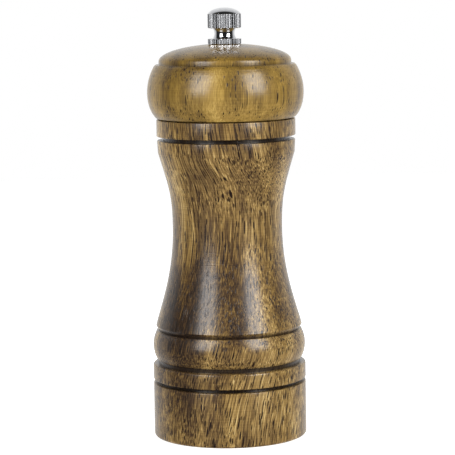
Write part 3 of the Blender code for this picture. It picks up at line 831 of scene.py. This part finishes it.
# the ball above its middle, then below it, where it curves in faster
ball = swelling(ball_radius, ledge_height, ball_middle - ball_above, ball_top_drop, 32)
outline += [point for point in ball if point[1] > ball_middle][1:]
oval_end = 62
oval_width = ball_foot_drop / (1 - cos(radians(oval_end)))
oval_height = ball_below / sin(radians(oval_end))
oval_centre = (ball_radius - oval_width, ball_middle)
outline += oval(oval_centre, oval_width, oval_height, 0, -oval_end, 18)[:-1]
outline += turned_corner(ball_radius - ball_foot_drop, head_bottom, turned_edge, False)
outline += [(spigot_radius, head_bottom)]
outline += turned_corner(spigot_radius, spigot_bottom, spigot_edge, False)
outline += [(shaft_hole_radius, spigot_bottom)]
head = turn("turned_head", outline, turned_steps)
plate_screw_pitch = 9.27
plate_screws = screw_places(plate_screw_pitch, 90)
drill(head, plate_screws, pilot_radius, spigot_bottom - 1, spigot_bottom + 5.7)
# the step under the dome's edge gets painted shade, the shadow under the dome's lip
stain_and_shade_grooves(head, [(ledge_height - 0.05, ledge_height + 0.3, dome_radius + 0.2)])
# the head is cut from calmer wood, with fewer pores and a more golden stain
head_bow = [(0.0, 0.0), (0.75, 0.5), (0.87, 0.52), (1.0, 0.6)]
head_stain = [
    (0.0, "#24180d"),
    (0.25, "#432f19"),
    (0.5, "#67501f"),
    (0.75, "#886c2f"),
    (1.0, "#a58a48"),
]
head_wood = lacquered_hardwood(
    "stained_lacquered_hardwood_head",
    stain=head_stain,
    offset=(-31.0, 47.0, 20.0),
    bow=head_bow,
    streaks=1.1,
    pores=1.1,
)
fit(head, "head", "cap", head_wood)


# Drive plate. A steel disc with a square hole, stamped and zinc plated, and screwed under the
# head's spigot. The shaft slides up and down in its hole, but turns with it.

bottom, top = heights("drive_plate")
plate_radius = 11.5
square_hole = 5.6
# the outer half of a ring's outline makes a solid disc, which the square hole is then cut in
disc = ring_outline(0, plate_radius, bottom, top, stamped_edge)[2:6] + [(0, top)]
plate = turn("square_holed_disc", disc, turned_steps, closed=False)
bpy.ops.object.select_all(action="DESELECT")
bpy.ops.mesh.primitive_cube_add(
    size=1,
    location=(0, 0, top * MM),
    scale=(square_hole * MM, square_hole * MM, 4 * (top - bottom) * MM),
)
cut(plate, bpy.context.object)
drill(plate, plate_screws, screw_hole_radius, bottom - 1, top + 1)
fit(plate, "drive_plate", "cap", stamped_steel)
drive_screws("plate_screw", "drive_plate_screw", "cap", (70, 10, 125))
bpy.data.objects.remove(screw)


# Thumb nut. It is turned from brass bar, straight-knurled round its drum and its flange,
# polished and chrome plated. It screws onto the shaft's upper thread and holds the head down.

nut_low, nut_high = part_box("thumb_nut")
nut_seat, nut_top = nut_low.z / MM, nut_high.z / MM
nut_radius = nut_high.x / MM
# the ridges are coarser than such a nut's may be, so that they show
ridges = 32
ridge_height = 0.3
ridge_steps = 8
knurl_smooth = 28
neck_radius = 3.3
neck_flare = 0.5
neck_steps = 12
neck_shoulder = 4.4
# this closes most of the gap to the head
nut_bottom = nut_seat - 0.2
flange_top = nut_seat + 1.6
drum_bottom = flange_top + 3.4
drum_top = drum_bottom + 4.7
rim = nut_radius - ridge_height - 0.03
chamfer = 0.16
# the thread's hole, and the flange
outline = [(nut_bore, drum_top), (nut_bore, nut_bottom), (rim, nut_bottom)]
outline += [(nut_radius, nut_bottom + chamfer), (nut_radius, flange_top - chamfer)]
outline += [(rim, flange_top), (neck_shoulder, flange_top + 0.02)]
# the hollow neck
neck_low, neck_high = flange_top + 0.1, drum_bottom - 0.1
for i in range(neck_steps + 1):
    share = i / neck_steps
    hollow = neck_radius + neck_flare * (2 * share - 1) ** 2
    outline.append((hollow, neck_low + (neck_high - neck_low) * share))
# the drum, and the dome on it
outline += [(neck_shoulder, drum_bottom - 0.02), (rim, drum_bottom)]
outline += [(nut_radius, drum_bottom + chamfer), (nut_radius, drum_top - 0.1)]
dome_start = 16
dome_height = (nut_top - drum_top) / (1 - sin(radians(dome_start)))
dome_rim = (nut_radius - 0.12) / cos(radians(dome_start))
dome_centre = (0, nut_top - dome_height)
outline += oval(dome_centre, dome_rim, dome_height, dome_start, 90, 16)[:-1] + [(0, nut_top)]
nut = turn("knurled_nut", outline, ridge_steps * ridges, closed=False, smooth=knurl_smooth)

# the ridges have rounded tops and sharp grooves between them
only(nut)
bpy.ops.object.mode_set(mode="EDIT")
bpy.ops.mesh.select_mode(type="VERT")
for phase in range(1, ridge_steps):
    bpy.ops.mesh.select_all(action="DESELECT")
    bpy.ops.object.mode_set(mode="OBJECT")
    for vert in nut.data.vertices:
        if vert.co.xy.length > (nut_radius - 0.02) * MM:
            step = round(atan2(vert.co.y, vert.co.x) / (2 * pi) * ridge_steps * ridges)
            vert.select = step % ridge_steps == phase
    bpy.ops.object.mode_set(mode="EDIT")
    sunk = 1 - ridge_height / nut_radius * (1 - abs(cos(pi * phase / ridge_steps)))
    bpy.ops.transform.resize(value=(sunk, sunk, 1), center_override=(0, 0, 0))
bpy.ops.object.mode_set(mode="OBJECT")
bpy.ops.object.shade_smooth_by_angle(angle=radians(knurl_smooth))

# chrome plate: a bright mirror, faintly blue, with wear marks about a millimetre apart
chrome, tree, shader = new_material("bright_chrome_plate")
place = add(tree, "ShaderNodeTexCoord").outputs["Object"]
values = {"Vector": place, "Scale": 900.0, "Detail": 3.0}
wear = add(tree, "ShaderNodeTexNoise", values).outputs["Fac"]
# the ridges can't be polished as well as the neck and the dome
values = {0: place, 1: (1 / MM, 1 / MM, 0)}
flat = add(tree, "ShaderNodeVectorMath", values, operation="MULTIPLY").outputs[0]
outwards = add(tree, "ShaderNodeVectorMath", {0: flat}, operation="LENGTH").outputs["Value"]
skin_start, skin_end = nut_radius - 0.35, nut_radius - 0.25
values = {"Value": outwards, "From Min": skin_start, "From Max": skin_end, "To Max": 0.04}
ridged = add(tree, "ShaderNodeMapRange", values).outputs[0]
rough = add(tree, "ShaderNodeMath", {0: wear, 1: 0.14, 2: ridged}, operation="MULTIPLY_ADD")
tint = add(tree, "ShaderNodeValToRGB", {"Fac": wear}, stops=[(0.3, "#cfd0d4"), (0.7, "#e3e4e6")])
tree.links.new(rough.outputs[0], shader.inputs["Roughness"])
tree.links.new(tint.outputs["Color"], shader.inputs["Base Color"])
shader.inputs["Metallic"].default_value = 1.0
fit(nut, "thumb_nut", "knob", chrome)


# Floor, lights and camera. The mill stands on a round white table, in front of a white
# backdrop that curves round its sides, in a room that is dark behind the camera.

table_radius = 0.9
bpy.ops.object.select_all(action="DESELECT")
bpy.ops.mesh.primitive_circle_add(
    vertices=96, radius=table_radius, fill_type="NGON", location=(0, 0, -0.1 * MM)
)
floor = bpy.context.object
floor.name = "floor"
paper, tree, shader = new_material("matt_white_paper")
place = add(tree, "ShaderNodeTexCoord").outputs["Object"]
values = {"Vector": place, "Scale": 60.0, "Detail": 2.0}
tooth = add(tree, "ShaderNodeTexNoise", values).outputs["Fac"]
tint = add(tree, "ShaderNodeValToRGB", {"Fac": tooth}, stops=[(0.3, "#f4f4f3"), (0.7, "#f7f7f6")])
tree.links.new(tint.outputs["Color"], shader.inputs["Base Color"])
shader.inputs["Roughness"].default_value = 0.9
shader.inputs["Emission Color"].default_value = (1, 1, 1, 1)
shader.inputs["Emission Strength"].default_value = 0.75
floor.data.materials.append(paper)
floor.visible_glossy = False

bpy.context.scene.view_settings.view_transform = "Standard"
world = bpy.data.worlds.new("white_studio")
bpy.context.scene.world = world
world.use_nodes = True
tree = world.node_tree
background = tree.nodes["Background"]
way = add(tree, "ShaderNodeTexCoord").outputs["Generated"]
back = add(tree, "ShaderNodeSeparateXYZ", {0: way}).outputs["Y"]
values = {"Value": back, "From Min": -1.0, "From Max": 1.0}
share = add(tree, "ShaderNodeMapRange", values).outputs[0]
walls = [(0.0, "#262626"), (0.58, "#303030"), (0.7, "#d0d0d0"), (1.0, "#fafafa")]
wall = add(tree, "ShaderNodeValToRGB", {"Fac": share}, stops=walls).outputs["Color"]
# the camera itself sees plain white behind the mill
seen = add(tree, "ShaderNodeLightPath").outputs["Is Camera Ray"]
values = {"Factor": seen, 6: wall, 7: (1, 1, 1, 1)}
shown = add(tree, "ShaderNodeMix", values, data_type="RGBA").outputs[2]
tree.links.new(shown, background.inputs["Color"])

# two softboxes, and a dim strip under each, light the mill from the front left and the front
# right, all aimed at its middle: their angles, distance, size and watts
middle = 0.069
for name, azimuth, elevation, distance, width, tall, power in (
    ("left_softbox", -38, 24.9, 0.9, 0.42, 0.62, 5.9),
    ("right_softbox", 46, 24.9, 0.9, 0.42, 0.62, 7.0),
    ("left_strip", -38, 3, 0.9, 0.42, 0.16, 0.26),
    ("right_strip", 46, 3, 0.9, 0.42, 0.16, 0.26),
):
    a, e = radians(azimuth), radians(elevation)
    bpy.ops.object.light_add(
        type="AREA",
        location=(
            distance * sin(a) * cos(e),
            -distance * cos(a) * cos(e),
            middle + distance * sin(e),
        ),
        rotation=(pi / 2 - e, 0, a),
    )
    light = bpy.context.object
    light.name = name
    light.data.shape = "RECTANGLE"
    light.data.size, light.data.size_y = width, tall
    light.data.energy = power

# the camera looks slightly down, and leans by 0.9 degrees
tilt = radians(6.8)
lean = radians(0.9)
reach = 0.727
bpy.ops.object.camera_add(
    location=(0, -reach * cos(tilt), middle + reach * sin(tilt)),
    rotation=(pi / 2 - tilt, 0, 0),
)
camera = bpy.context.object
camera.data.sensor_width = 36
camera.data.lens = 174.07
camera.rotation_euler.rotate_axis("Z", -lean)
bpy.context.scene.camera = camera
